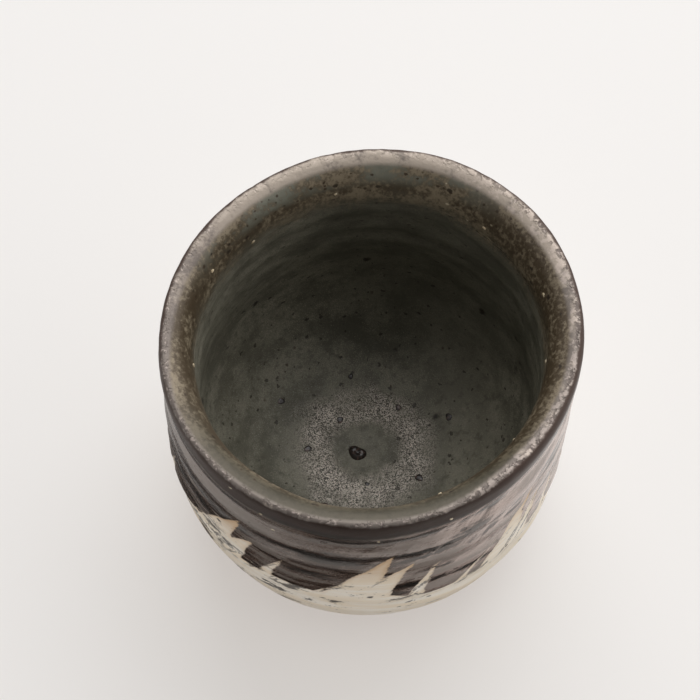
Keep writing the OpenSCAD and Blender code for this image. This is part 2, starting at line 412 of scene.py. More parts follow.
def stitch(a, b):
    """Faces between two rings of point numbers with as many points, half as many, or one."""
    n = len(a)
    j = np.arange(n)
    k = (j + 1) % n
    if len(b) == 1:
        return [(a[p], a[q], b[0]) for p, q in zip(j, k)]
    if len(a) == 1:
        return [(b[q], b[p], a[0]) for p, q in zip(range(len(b)), np.roll(range(len(b)), -1))]
    if len(b) == n:
        return [(a[p], a[q], b[q], b[p]) for p, q in zip(j, k)]
    if len(b) > n:
        return [f[::-1] for f in stitch(b, a)]
    faces = []
    for p in range(len(b)):
        q = (p + 1) % len(b)
        a0, a1, a2 = a[2 * p], a[2 * p + 1], a[(2 * p + 2) % n]
        faces += [(a0, a1, b[p]), (a1, b[q], b[p]), (a1, a2, b[q])]
    return faces


def turned(outline, columns, step, closed=False):
    """Rings of points for an outline turned round the axis. Rings get fewer points towards the middle."""
    rings = []
    angles = []
    total = 0
    for r, _ in outline:
        count = columns
        while count > 1 and 2 * math.pi * r / count < step / 2 and count % 2 == 0:
            count //= 2
        if r < TINY:
            count = 1
        rings.append(np.arange(total, total + count))
        angles.append(2 * math.pi * np.arange(count) / count)
        total += count
    faces = []
    for a, b in zip(rings, rings[1:] + rings[:1] * closed):
        faces += stitch(a, b)
    angle = np.concatenate(angles)
    number = np.concatenate([np.full(len(ring), i) for i, ring in enumerate(rings)])
    return angle, number, faces


# Shader maths
WHITE = (1, 1, 1, 1)
GLOW = (1, 0.94, 0.89, 1)
NOISE_MIDDLE = 0.5
MIX_SHARE = 0
MIX_FIRST = 6
MIX_SECOND = 7
MIX_RESULT = 2


class Mark:
    """A node's output in a finish. Sums with numbers and other marks add Math nodes."""

    def __init__(self, finish, socket):
        self.finish = finish
        self.socket = socket

    def math(self, operation, first, second):
        """Adds a Math node for two marks or numbers."""
        return self.finish.node("ShaderNodeMath", {"operation": operation}, {0: first, 1: second})

    def __add__(self, other):
        return self.math("ADD", self, other)

    def __sub__(self, other):
        return self.math("SUBTRACT", self, other)

    def __rsub__(self, other):
        return self.math("SUBTRACT", other, self)

    def __mul__(self, other):
        return self.math("MULTIPLY", self, other)

    def __abs__(self):
        return self.math("ABSOLUTE", self, 0)

    __radd__ = __add__
    __rmul__ = __mul__

    def swing(self, amount):
        """Noise to both sides of 0, times an amount."""
        return (self - NOISE_MIDDLE) * amount


class Finish:
    """A material under construction."""

    def __init__(self, name):
        self.material = bpy.data.materials.new(name)
        self.material.use_nodes = True
        self.tree = self.material.node_tree
        self.tree.nodes.clear()

    def node(self, kind, settings, inputs, output=0):
        """Adds a node: its settings first, then the values or links of its sockets."""
        made = self.tree.nodes.new(kind)
        for name, value in settings.items():
            setattr(made, name, value)
        for name, value in inputs.items():
            if isinstance(value, Mark):
                self.tree.links.new(value.socket, made.inputs[name])
            else:
                made.inputs[name].default_value = value
        return Mark(self, made.outputs[output]) if len(made.outputs) else None

    def place(self):
        """Where a point of the surface lies, in millimetres."""
        metres = self.node("ShaderNodeTexCoord", {}, {}, "Object")
        return self.node("ShaderNodeVectorMath", {"operation": "SCALE"}, {0: metres, "Scale": 1 / MM})

    def axis(self, vector, name):
        """One coordinate of a vector."""
        return self.node("ShaderNodeSeparateXYZ", {}, {0: vector}, name)

    def side(self, place, way, start, full):
        """Goes from 0 at start to 1 at full, in millimetres from the cup's axis towards a side."""
        inputs = {0: place, 1: (*way, 0)}
        distance = self.node("ShaderNodeVectorMath", {"operation": "DOT_PRODUCT"}, inputs, "Value")
        return self.band(distance, start, full)

    def sized(self, vector, sizes):
        """Coordinates that count in lengths of their own along x, y and z."""
        return self.node("ShaderNodeVectorMath", {"operation": "DIVIDE"}, {0: vector, 1: sizes})

    def leaning(self, vector, turn):
        """Coordinates that turn round the axis with height, so that strokes along them lean."""
        angle = self.axis(vector, "Z") * turn
        inputs = {"Vector": vector, "Angle": angle}
        return self.node("ShaderNodeVectorRotate", {"rotation_type": "Z_AXIS"}, inputs)

    def noise(self, vector, sizes, detail=2.0, roughness=0.5):
        """Cloudy values about 0.5, with clouds of about those sizes."""
        inputs = {
            "Vector": self.sized(vector, sizes),
            "Scale": 1.0,
            "Detail": detail,
            "Roughness": roughness,
        }
        return self.node("ShaderNodeTexNoise", {}, inputs, "Fac")

    def cells(self, vector, sizes, output="Distance"):
        """Distance to the nearest of scattered points, or the random colour of its cell."""
        inputs = {"Vector": self.sized(vector, sizes), "Scale": 1.0}
        return self.node("ShaderNodeTexVoronoi", {}, inputs, output)

    def grey(self, colour):
        """One channel of a random colour, as a number."""
        return self.node("ShaderNodeSeparateColor", {}, {0: colour}, 0)

    def shaken(self, vector, size, amount):
        """Coordinates pushed about by noise, so that what is drawn along them gets a ragged edge."""
        inputs = {"Vector": self.sized(vector, (size, size, size)), "Scale": 1.0, "Detail": 2.0}
        push = self.node("ShaderNodeTexNoise", {}, inputs, "Color")
        scaled = {0: push, 1: (amount, amount, amount), 2: vector}
        return self.node("ShaderNodeVectorMath", {"operation": "MULTIPLY_ADD"}, scaled)

    def dots(self, vector, sizes, widest, share, soft=0.08):
        """Specks: one in some of the cells, each of its own width, as a mask."""
        chance = self.grey(self.cells(vector, sizes, "Color"))
        wide = self.band(chance, 1 - share, 1) * widest
        return self.band(self.cells(vector, sizes) - wide, 0.0, -soft)

    def kept(self, name):
        """A number kept per point of the mesh."""
        return self.node("ShaderNodeAttribute", {"attribute_name": name}, {}, "Fac")

    def band(self, value, low, high):
        """Goes smoothly from 0 at low to 1 at high."""
        inputs = {"Value": value, "From Min": low, "From Max": high}
        return self.node("ShaderNodeMapRange", {"interpolation_type": "SMOOTHSTEP"}, inputs)

    def mix(self, share, first, second):
        """Goes from the first colour to the second."""
        colours = [c if isinstance(c, Mark) else (*c, 1) for c in (first, second)]
        inputs = {MIX_SHARE: share, MIX_FIRST: colours[0], MIX_SECOND: colours[1]}
        return self.node("ShaderNodeMix", {"data_type": "RGBA"}, inputs, MIX_RESULT)

    def close(self, colour, roughness, height, strength=1.0, glow=0.0, index=1.5, sheen=WHITE):
        """Ends the material with its colour, roughness, bump in millimetres, glow, refraction and sheen."""
        raised = {"Strength": strength, "Distance": MM, "Height": height}
        bump = self.node("ShaderNodeBump", {}, raised, "Normal")
        inputs = {"Base Color": colour, "Roughness": roughness, "Normal": bump}
        inputs.update({"IOR": index, "Specular Tint": sheen})
        inputs.update({"Emission Color": GLOW, "Emission Strength": glow})
        shader = self.node("ShaderNodeBsdfPrincipled", {}, inputs)
        self.node("ShaderNodeOutputMaterial", {}, {"Surface": shader})
        return self.material


# Finishes
IRON_BLACK = (0.007, 0.005, 0.004)
IRON_BROWN = (0.066, 0.037, 0.026)
IRON_PLUM = (0.135, 0.090, 0.070)
# Rose of thin iron glaze, lightened as painted sheen
IRON_ROSE = (0.66, 0.52, 0.465)
# Grey of a thin wash, lightened as painted sheen
IRON_GREY = (0.160, 0.138, 0.122)
CREAM = (0.90, 0.788, 0.632)
PALE_SLIP = (0.93, 0.865, 0.765)
PEACH = (0.63, 0.43, 0.25)
SMEAR = (0.115, 0.102, 0.096)
PIT = (0.02, 0.014, 0.012)
LILAC = (0.180, 0.156, 0.140)
ROSE = (0.43, 0.368, 0.310)
PLUM = (0.030, 0.018, 0.019)
# Painted glints on the lip
GLINT = (0.84, 0.71, 0.65)
RUST = (0.032, 0.012, 0.008)
BARK = (0.034, 0.020, 0.011)
OLIVE = (0.252, 0.208, 0.143)
MOSS = (0.036, 0.036, 0.024)
DRIP = (0.058, 0.041, 0.023)
SEA_GREEN = (0.205, 0.215, 0.175)
LINER = (0.212, 0.203, 0.161)
LINER_DEEP = (0.086, 0.083, 0.063)
LINER_PALE = (0.315, 0.295, 0.235)
SPECK = (0.016, 0.011, 0.008)
FROST = (0.80, 0.72, 0.64)
FROST_DEEP = (0.050, 0.047, 0.041)
GRAIN = (0.62, 0.54, 0.39)
STONEWARE = (0.33, 0.21, 0.14)
STONEWARE_PALE = (0.45, 0.33, 0.24)
GRAIN_BROWN = (0.62, 0.48, 0.30)
MELT = (0.02, 0.014, 0.012)
MELT_RUSTY = (0.09, 0.055, 0.045)
STROKE_TURN = -0.017
LAP_ROUGHNESS = 0.38
LIP_ROUGHNESS = 0.36
IRON_INDEX = 1.7
IRON_SHEEN = (1, 0.87, 0.77, 1)
LINER_INDEX = 1.26
GLAZE_BUMP = 0.6

# Ways across the cup, as shares of x and y
RIGHT = (1, 0)
LEFT = (-1, 0)
FAR = (0, 1)
NEAR = (0, -1)


def outside(f, place):
    """Iron glaze streaked by the brush, with painted sheen and shade, and the cream slip where it was wiped
    away.
    """
    height = f.axis(place, "Z")
    along = f.kept("from_lip")
    slip = f.kept("slip")
    strokes = f.leaning(place, STROKE_TURN)
    ragged = f.shaken(place, 0.8, 0.9)
    broad = f.noise(place, (24, 24, 6), 2, 0.5)
    streak = f.noise(place, (14, 14, 2.2), 3, 0.55)
    sweep = f.noise(strokes, (2.2, 2.2, 16), 3, 0.6)
    fine = f.noise(place, (0.6, 0.6, 0.35), 2)
    tone = broad * 0.5 + streak * 0.5 + f.kept("ridge") * 0.045 + fine.swing(0.10)
    right_front_lean = f.axis(place, "X") * 0.022 - f.axis(place, "Y") * 0.006
    rose_tone = tone.swing(3.0) + sweep.swing(1.2)

    iron = f.mix(f.band(tone, 0.40, 0.54), IRON_BLACK, IRON_BROWN)
    iron = f.mix(f.band(tone, 0.49, 0.62) * 0.9, iron, IRON_PLUM)
    # Rose towards the right: the thin glaze's colour, lightened as painted sheen of the bright floor.
    iron = f.mix(f.band(right_front_lean + rose_tone, 0.35, 0.95), iron, IRON_ROSE)
    # Grey near the slip: partly a thin grey wash, partly painted sheen.
    wash_and_sheen = f.band(slip, -20, -1) * f.band(tone + sweep.swing(0.2), 0.46, 0.60)
    iron = f.mix(wash_and_sheen * 0.85, iron, IRON_GREY)
    # Near-black and rust bands under the lip: partly the glaze's own colour, partly painted shade under the
    # lip.
    wavering = along + streak.swing(7)
    iron = f.mix(f.band(wavering, -8, -5.5) * 0.92, iron, IRON_BLACK)
    iron = f.mix(f.band(wavering, -7, -3.5) * 0.85, iron, RUST)
    grains = f.dots(ragged, (4.0, 4.0, 3.0), 0.14, 0.3)
    iron = f.mix(grains * 0.8, iron, GRAIN)
    burst = f.dots(ragged, (5.0, 5.0, 3.2), 0.22, 0.4)
    iron = f.mix(burst * 0.8, iron, IRON_BLACK)

    edge = slip + sweep.swing(1.8) + fine.swing(0.8)
    shown = f.band(edge, -0.2, 0.2)
    cream = f.mix(f.band(streak, 0.4, 0.62), CREAM, PALE_SLIP)
    cream = f.mix(f.band(height, 36, 50) * 0.75 + f.band(edge, 1.2, 0) * 0.25, cream, PEACH)
    dry = f.noise(strokes, (8, 8, 3.2), 4, 0.65)
    bare_side = f.side(place, LEFT, -2, 18) * 0.09
    smeared = f.band(dry + fine.swing(0.25) + bare_side, 0.58, 0.68) * f.band(height, 43, 36)
    strokes_side = f.side(place, RIGHT, 5, 25) * 0.05
    stroked = f.band(sweep + fine.swing(0.3) + strokes_side, 0.58, 0.66)
    stroked = stroked * f.band(height, 24, 31) * f.band(height, 46, 38)
    smeared = f.band(smeared + stroked * 0.8, 0, 1)
    cream = f.mix(smeared * 0.9, cream, f.mix(f.band(fine, 0.4, 0.6), PIT, SMEAR))
    holes = f.dots(ragged, (3.0, 3.0, 2.0), 0.28, 0.3)
    cream = f.mix(holes * 0.9, cream, PIT)

    colour = f.mix(shown, iron, cream)
    rough = 0.17 + f.band(tone, 0.45, 0.62) * 0.10 + shown * 0.2 + fine * 0.08
    near_side = f.side(place, (-0.2, -1), 10, 28)
    under_lip = f.band(along, -4, -1.5) * (1 - near_side) + f.band(along, -8, -5.5) * near_side
    rough = rough + under_lip * 0.38
    skin = f.noise(place, (2.6, 2.6, 1.8), 3)
    relief = streak * 0.05 + fine * 0.03 + skin * 0.09 - holes * 0.15 - burst * 0.1
    return colour, rough, relief


def near_lip(f, place):
    """The side of the lip towards the viewer, where the pale band lies further out as a painted highlight
    of the crest.
    """
    return f.side(place, (-0.35, -1), 12, 32)


def lip(f, place, along):
    """The pale band over the top of the lip, broken by dark cracks and flecked with painted glints, and how
    far it covers.
    """
    streak = f.noise(place, (5, 5, 5), 3, 0.6)
    fine = f.noise(place, (0.7, 0.7, 0.7), 3, 0.6)
    wander = along + streak.swing(1.6) + fine.swing(0.5)
    right_front_lean = f.axis(place, "X") * 0.02 - f.axis(place, "Y") * 0.012
    near_side = near_lip(f, place)
    far_side = f.side(place, FAR, -5, 28)
    inner_edge = 1.7 + far_side * 0.9 - near_side * 1.6 + streak.swing(1.6)
    outer_edge = near_side * -0.9
    cover = f.band(wander - outer_edge, -0.4, 0.3) * f.band(wander - inner_edge, 0.8, -0.4)
    bright_side = far_side * 0.30 + f.side(place, RIGHT, 8, 34) * 0.06
    colour = f.mix(f.band(streak + fine.swing(0.5) + bright_side, 0.54, 0.80), LILAC, ROSE)
    turn = f.noise(place, (1.7, 1.7, 1.7), 3, 0.6)
    crack = f.band(turn + streak.swing(0.5), 0.48, 0.55) * f.band(along, 1.6, 0.2)
    colour = f.mix(crack * f.band(right_front_lean, -0.5, 0.4) * (0.9 - near_side * 0.5), colour, PLUM)
    # Painted glints: pale flecks on the right of the lip.
    right_side = f.side(place, RIGHT, 4, 30)
    colour = f.mix(f.band(turn, 0.50, 0.42) * right_side * 0.28, colour, GLINT)
    left_side = f.side(place, LEFT, 20, 37)
    colour = f.mix(left_side * 0.35, colour, PLUM)
    # Painted glints along the crest.
    glints = f.band(fine + turn.swing(0.6), 0.56, 0.68) * f.band(abs(along), 1.0, 0.4)
    colour = f.mix(glints * 0.35, colour, GLINT)
    return colour, cover, fine * 0.12 + streak * 0.3 - crack * 0.2


def lap(f, place, along):
    """The olive and brown mottled band inside the lip, painted darker as shade on its right and near sides,
    and how far it covers.
    """
    mottle = f.noise(place, (0.9, 0.9, 1.3), 4, 0.7)
    patches = f.noise(place, (8, 8, 4), 3)
    deep = f.band(along, 0.2, 2.5) * f.band(along, 16, 8)
    lower = f.band(along, 2, 5)
    left_side = f.side(place, LEFT, 0, 30) * lower
    brown = f.band(mottle + patches.swing(0.6) + deep * 0.08 + left_side * 0.1, 0.36, 0.76)
    # Painted shade: darker brown on the right side, below the crest.
    painted_shade = f.side(place, RIGHT, 8, 32) * lower * 0.35
    colour = f.mix(f.band(brown * 0.9 + painted_shade, 0, 1), OLIVE, DRIP)
    pooled = f.band(patches + mottle.swing(0.6), 0.42, 0.60) * f.band(along, 8.5, 5)
    pooled = pooled * f.side(place, (-0.3, 1), 16, 34)
    colour = f.mix(pooled * 0.8, colour, SEA_GREEN)
    # Painted shade: dark moss on the near side inside the lip.
    near_painted_shade = f.side(place, NEAR, 10, 30) * f.band(along, 7, 2)
    colour = f.mix(near_painted_shade * 0.9, colour, MOSS)
    ragged = f.shaken(place, 0.8, 0.5)
    past_crest = f.band(along, 1, 3)
    spots = f.dots(ragged, (1.3, 1.3, 1.2), 0.34, 0.7, 0.12) * past_crest
    colour = f.mix(spots * 0.85, colour, BARK)
    dark = f.dots(ragged, (2.8, 2.8, 2.0), 0.26, 0.4) * past_crest
    colour = f.mix(dark * 0.85, colour, SPECK)
    grains = f.dots(place, (4.5, 4.5, 3.5), 0.13, 0.3)
    colour = f.mix(grains, colour, GRAIN)
    right_side = f.side(place, RIGHT, 8, 30)
    cover = f.band(along + mottle.swing(9) + patches.swing(8) - right_side * 3, 16.5, 8)
    return colour, cover, mottle * 0.15


def liner(f, place):
    """Grey-green satin glaze with iron specks and painted light and shade, and frost in the pool on the
    floor with a painted highlight.
    """
    x = f.axis(place, "X")
    y = f.axis(place, "Y")
    cloud = f.noise(place, (9, 9, 4), 4, 0.6)
    grit = f.noise(place, (0.22, 0.22, 0.22), 1)
    colour = f.mix(f.band(cloud, 0.35, 0.65), LINER_DEEP, LINER)
    salt = f.grey(f.cells(place, (0.17, 0.17, 0.17), "Color"))
    colour = f.mix(f.band(grit + cloud.swing(0.5), 0.50, 0.70) * 0.8, colour, LINER_PALE)
    colour = f.mix(f.band(salt, 0.5, 1.0) * 0.5, colour, LINER_DEEP)
    low = f.band(f.axis(place, "Z"), 30, 15)
    # Painted light: paler on the left wall and on the low floor to the right.
    pale = f.side(place, LEFT, 0, 30) * 0.2 + f.side(place, RIGHT, 4, 22) * low * 0.5
    colour = f.mix(pale, colour, LINER_PALE)
    blots = f.band(f.noise(place, (1.6, 1.6, 1.1), 3, 0.6), 0.5, 0.7)
    colour = f.mix(blots * 0.6, colour, LINER_DEEP)
    # Painted shade: darker towards the far right wall and low down on the floor.
    painted_shade = f.side(place, (0.42, 0.9), 14, 32) * 0.62 + low * 0.22
    colour = f.mix(painted_shade, colour, LINER_DEEP)

    # The frost ring round the pool: crystalline frost, with its brightness a painted highlight of the light
    # on the floor.
    from_middle = f.node("ShaderNodeMath", {"operation": "SQRT"}, {0: x * x + y * y})
    ring = from_middle + cloud.swing(9) + (x * 0.3 + y) * 0.14
    patchy = 0.6 + f.band(f.noise(place, (4, 4, 4), 3, 0.6), 0.40, 0.58) * 0.4
    frost_and_highlight = f.band(ring, 17, 10) * (1 - f.band(ring, 9, 5) * 0.95) * patchy
    colour = f.mix(frost_and_highlight * 0.85, colour, f.mix(f.band(salt, 0.20, 0.85), FROST_DEEP, FROST))

    ragged = f.shaken(place, 0.7, 0.9)
    flecks = f.dots(ragged, (2.6, 2.6, 1.3), 0.25, 0.7)
    small = f.dots(ragged, (1.7, 1.7, 1.7), 0.22, 0.6)
    large = f.dots(ragged, (8.0, 8.0, 6.5), 0.19, 0.8, 0.14)
    specks = f.band(flecks * 0.7 + small * 0.7 + large, 0, 1)
    colour = f.mix(specks * 0.9, colour, SPECK)
    rusty = f.dots(ragged, (1.3, 1.3, 1.2), 0.34, 0.6, 0.14) * f.band(cloud, 0.58, 0.66)
    colour = f.mix(rusty * 0.7, colour, BARK)
    rough = 0.38 + frost_and_highlight * 0.14 + grit * 0.1 - specks * 0.12
    relief = grit * 0.05 + cloud * 0.2 + frost_and_highlight * salt * 0.06 - specks * 0.05
    return colour, rough, relief


def over(f, covered, share, cover):
    """Lays one glaze over another: colour, roughness and relief, by the share that it covers."""
    colour = f.mix(share, covered[0], cover[0])
    rough = covered[1] + share * (cover[1] - covered[1])
    relief = covered[2] + share * (cover[2] - covered[2])
    return colour, rough, relief


def iron_finish(name):
    """The outside, the lip and the lap inside it, each fading into the next."""
    f = Finish(name)
    place = f.place()
    along = f.kept("from_lip")
    near_side = near_lip(f, place)
    within = f.band(along + near_side * 0.5, 0, 1.2)
    surface = over(f, outside(f, place), within, liner(f, place))
    lap_colour, lap_cover, lap_relief = lap(f, place, along)
    lap_rough = LAP_ROUGHNESS + near_side * 0.2
    surface = over(f, surface, within * lap_cover, (lap_colour, lap_rough, lap_relief))
    lip_colour, lip_cover, lip_relief = lip(f, place, along)
    colour, rough, relief = over(f, surface, lip_cover, (lip_colour, LIP_ROUGHNESS, lip_relief))
    return f.close(colour, rough, relief, GLAZE_BUMP, index=IRON_INDEX, sheen=IRON_SHEEN)


def slip_finish(name):
    """The same outside, with the slip's own plain gloss."""
    f = Finish(name)
    return f.close(*outside(f, f.place()), GLAZE_BUMP)


def liner_finish(name):
    """The liner, and the lap where it runs down over it."""
    f = Finish(name)
    place = f.place()
    along = f.kept("from_lip")
    surface = liner(f, place)
    lap_colour, lap_cover, lap_relief = lap(f, place, along)
    colour, rough, relief = over(f, surface, lap_cover, (lap_colour, LAP_ROUGHNESS, lap_relief))
    return f.close(colour, rough, relief, GLAZE_BUMP, index=LINER_INDEX)


def stoneware_finish(name):
    """Bare fired clay: cloudy and gritty, with small dark stones."""
    f = Finish(name)
    place = f.place()
    cloud = f.noise(place, (7, 7, 5), 4, 0.6)
    grit = f.noise(place, (0.35, 0.35, 0.35), 2)
    colour = f.mix(f.band(cloud + grit.swing(0.4), 0.4, 0.65), STONEWARE, STONEWARE_PALE)
    stones = f.dots(place, (1.8, 1.8, 1.8), 0.2, 0.4)
    colour = f.mix(stones * 0.8, colour, SPECK)
    return f.close(colour, 0.72 + grit * 0.2, grit * 0.12 + cloud * 0.2 - stones * 0.05, 0.8)


def melt_finish(name):
    """Melted iron: nearly black and glossy, rusty where it is thin."""
    f = Finish(name)
    place = f.place()
    skin = f.noise(place, (0.8, 0.8, 0.8), 3)
    colour = f.mix(f.band(skin, 0.5, 0.7), MELT, MELT_RUSTY)
    return f.close(colour, 0.22 + skin * 0.2, skin * 0.1, 0.5)


def feldspar_finish(name):
    """Grains of melted feldspar: cream and glossy, browner in places."""
    f = Finish(name)
    place = f.place()
    skin = f.noise(place, (0.5, 0.5, 0.5), 2)
    colour = f.mix(f.band(skin, 0.4, 0.7), GRAIN, GRAIN_BROWN)
    return f.close(colour, 0.18 + skin * 0.1, skin * 0.08, 0.5)


# Coats on the outside and over the lip
def outer_coats():
    """The iron glaze, the slip and its licks: one skin, parted along the slip's edge."""
    line = np.concatenate([outside_line(SLIP_LOW_H, LIP_H), lip_line(), roll_line(LAP_H)])
    line = evenly(line, COAT_STEP)
    rows = len(line)
    along = lengths(line)
    crest = along[np.argmax(line[:, 1])]
    angle = 2 * np.pi * np.arange(COLUMNS) / COLUMNS
    on_wall = along < crest
    field = in_slip(*np.broadcast_arrays(angle[None], line[:, 1:]))
    field[~on_wall] = NOT_SLIP
    row, turn, field = snapped(field, rows, COLUMNS)
    angle = turn * 2 * np.pi / COLUMNS
    radius, height = at_rows(line, row)
    thick = OUTER_T + (LINER_T - OUTER_T) * ease(along / along[-1])
    clay = line - thick[:, None] * facing(line)
    clay_radius, clay_height = at_rows(clay, row)
    under = by_hand(clay_radius, angle, clay_height)
    surface = by_hand(radius, angle, height)
    from_lip = np.interp(row, np.arange(rows), along) - crest
    out = grid_normals(surface)
    surface = surface + out * outer_relief(surface, from_lip, field)[..., None]

    cell = field[:-1] + field[1:]
    cell = cell + np.roll(cell, -1, axis=1)
    cream = cell > 0
    middle = (height[:-1] + height[1:]) / 2
    in_band = middle < slip_edge(angle[:-1])
    ridge = np.where(from_lip < 0, ridges(height, BASE_H, LIP_H, RIDGE_PITCH, 1), 0)
    numbers = {"slip": field, "from_lip": from_lip, "ridge": ridge}
    shared = (surface, under)
    coat_piece("iron_glaze", ~cream, *shared, iron_finish("iron_glaze"), "iron_glaze", numbers)
    coat_piece("slip_licks", cream & ~in_band, *shared, slip_finish("lick_slip"), "slip", numbers)
    coat_piece("white_slip", cream & in_band, *shared, slip_finish("white_slip"), "slip", numbers)


def outer_relief(points, from_lip, field):
    """Height that the glaze adds: slow swells, streaks, beads on the lip, the slip's drop and pits."""
    relief = lumps(points, *SWELLS) + lumps(points, *STREAKS) + lumps(points, *SKIN)
    relief += swell((from_lip - LIP_BEADS_MIDDLE) / LIP_BEADS_REACH) * lumps(points, *LIP_BEADS)
    relief -= SLIP_DROP * ease(field / SLIP_DROP_W + 0.5)
    return relief + pits(points)


# Liner
def liner_coat():
    """The liner from the lap's lower edge down the wall and over the floor."""
    lapped = roll_line(LAP_H)
    wall = roll_line(BOWL_H)[len(lapped) - 1:-1]
    line = evenly(np.concatenate([wall, bowl_line()]), LINER_STEP)
    line[-1, 0] = 0
    along = lengths(line) + lengths(np.concatenate([lip_line()[-1:], lapped]))[-1]
    back = line - LINER_T * facing(line)
    back[-1, 0] = 0
    angle, number, faces = turned(line, COLUMNS, LINER_STEP)
    surface = by_hand(line[number, 0], angle, line[number, 1])
    under = by_hand(back[number, 0], angle, back[number, 1])
    up = facing(line)[number]
    out = np.stack([up[:, 0] * np.cos(angle), up[:, 0] * np.sin(angle), up[:, 1]], -1)
    relief = lumps(surface, *LINER_SWELLS) + lumps(surface, *LINER_WIPES) + lumps(surface, *LINER_SKIN)
    surface = surface + out * relief[:, None]
    size = len(surface)
    first = np.flatnonzero(number == 0)
    rim = [(q, p, p + size, q + size) for p, q in zip(np.roll(first, 1), first)]
    backs = [tuple(v + size for v in f[::-1]) for f in faces]
    numbers = {"from_lip": np.tile(along[number], 2)}
    points = np.concatenate([surface, under])
    finish = liner_finish("liner_glaze")
    make_piece("liner_glaze", points, faces + backs + rim, finish, "liner_glaze", "liner_glaze", numbers)


# Clay
def thrown_body():
    """The clay under all the coats."""
    inner = np.concatenate([roll_line(BOWL_H)[:-1], bowl_line()])
    outer = evenly(np.concatenate([outside_line(BASE_H, LIP_H), lip_line(), inner]), CLAY_STEP)
    clay = outer - OUTER_T * facing(outer)
    clay[0] = (SEAT_R, FOOT_H)
    clay[-1, 0] = 0
    underside = [(r, FOOT_H) for r in np.linspace(0, SEAT_R, UNDERSIDE_STEPS)[:-1]]
    outline = np.concatenate([underside, clay])
    angle, number, faces = turned(outline, CLAY_COLUMNS, CLAY_STEP)
    points = by_hand(outline[number, 0], angle, outline[number, 1])
    make_piece("thrown_body", points, faces, stoneware_finish("stoneware"), "stoneware", "thrown_body")


def foot_ring():
    """The turned ring that the cup stands on."""
    inner = FOOT_R - FOOT_FACE_W - 2 * FOOT_BEVEL
    corners = [
        (inner, FOOT_BEVEL),
        (inner + FOOT_BEVEL, 0),
        (FOOT_R - FOOT_BEVEL, 0),
        (FOOT_R, FOOT_BEVEL),
        (FOOT_TOP_R, FOOT_H),
        (inner - FOOT_SLOPE, FOOT_H),
    ]
    sides = zip(corners, corners[1:] + corners[:1])
    outline = np.concatenate([evenly(np.array(pair, float), CLAY_STEP / 2)[:-1] for pair in sides])
    angle, number, faces = turned(outline, CLAY_COLUMNS, CLAY_STEP, closed=True)
    points = by_hand(outline[number, 0], angle, outline[number, 1])
    make_piece("foot_ring", points, faces, stoneware_finish("foot_stoneware"), "stoneware", "foot_ring")


# Iron and feldspar
def cap(at, up, width, rise, sink, seed, crater=0.0):
    """A round bead that stands out of a surface, with its underside sunk in it."""
    top = [(0, rise - crater), (0.25, rise - crater * 0.7), (0.45, rise)]
    flank = [(0.7, rise * 0.75), (0.9, rise * 0.35), (1, 0)]
    sunk = [(0.9, -sink * 0.6), (0.5, -sink), (0, -sink)]
    outline = np.array([(r * width / 2, h) for r, h in top + flank + sunk])[::-1]
    angle, number, faces = turned(outline, CAP_COLUMNS, CAP_STEP)
    wobble = 1 + 0.12 * np.sin(2 * angle + seed) + 0.08 * np.sin(3 * angle + 2 * seed)
    radius = outline[number, 0] * wobble
    local = np.stack([radius * np.cos(angle), radius * np.sin(angle), outline[number, 1]], -1)
    turn = np.array(Vector(up).to_track_quat("Z", "Y").to_matrix())
    return local @ turn.T + at, faces


def join(caps):
    """Points and faces of several beads as one mesh."""
    points = []
    faces = []
    total = 0
    for p, f in caps:
        points.append(p)
        faces += [tuple(v + total for v in face) for face in f]
        total += len(p)
    return np.concatenate(points), faces


BLISTER_R = 2.5
BLISTER_D = 3.6
BLISTER_H = 0.7
BLISTER_CRATER = 0.35
BLISTER_TURN = math.radians(-130)
MELT_SINK = 0.3
BEADS = 9
BEAD_D = 1.7
BEAD_H = 0.14
BEAD_FIELD = 13.5
GRAINS = 11
GRAIN_D = 1.2
GRAIN_SHOWN = 0.8
GRAIN_RISE = 0.12
GRAIN_SINK = 0.35
GRAIN_LEAST = 0.6
SLOPE_STEP = 0.1


def size_of(i):
    """Share of the full width that a bead or grain has, from its number."""
    return GRAIN_LEAST + (1 - GRAIN_LEAST) * abs(math.cos(GOLDEN_TURN * i))


def on_floor(r, turn):
    """A point of the floor and the way that the floor faces there."""
    at = by_hand(np.array(r), np.array(turn), floor_h(np.array(r)))
    slope = (floor_h(np.array(r + SLOPE_STEP)) - floor_h(np.array(r))) / SLOPE_STEP
    return at, (-slope * math.cos(turn), -slope * math.sin(turn), 1)


def iron_melts():
    """The blister on the floor, and beads that spiral out round it."""
    blister = on_floor(BLISTER_R, BLISTER_TURN)
    caps = [cap(*blister, BLISTER_D, BLISTER_H, MELT_SINK, 1, BLISTER_CRATER)]
    for i in range(1, BEADS + 1):
        r = BLISTER_R + BLISTER_D + BEAD_FIELD * i / BEADS
        caps.append(cap(*on_floor(r, GOLDEN_TURN * i), BEAD_D * size_of(i), BEAD_H, MELT_SINK, i))
    make_piece("iron_melts", *join(caps), melt_finish("iron_melt"), "iron_melt", "iron_melts")


def feldspar_grains():
    """Pairs of grains that spiral up round the lip, one inside and one outside."""
    caps = []
    spread = LIP_H - LAP_H - 2 * GRAIN_D
    for i in range(GRAINS):
        turn = GOLDEN_TURN * i
        height = LAP_H + GRAIN_D + spread * i / GRAINS
        for radius, way in ((inside_r, -1), (outside_r, 1)):
            at = by_hand(radius(np.array(height)), np.array(turn), np.array(height))
            up = (way * math.cos(turn), way * math.sin(turn), 0)
            width = GRAIN_D * size_of(i) * GRAIN_SHOWN
            caps.append(cap(at, up, width, GRAIN_RISE, GRAIN_SINK, i))
    make_piece("feldspar_grains", *join(caps), feldspar_finish("feldspar"), "feldspar", "feldspar_grains")


outer_coats()
liner_coat()
thrown_body()
foot_ring()
iron_melts()
feldspar_grains()

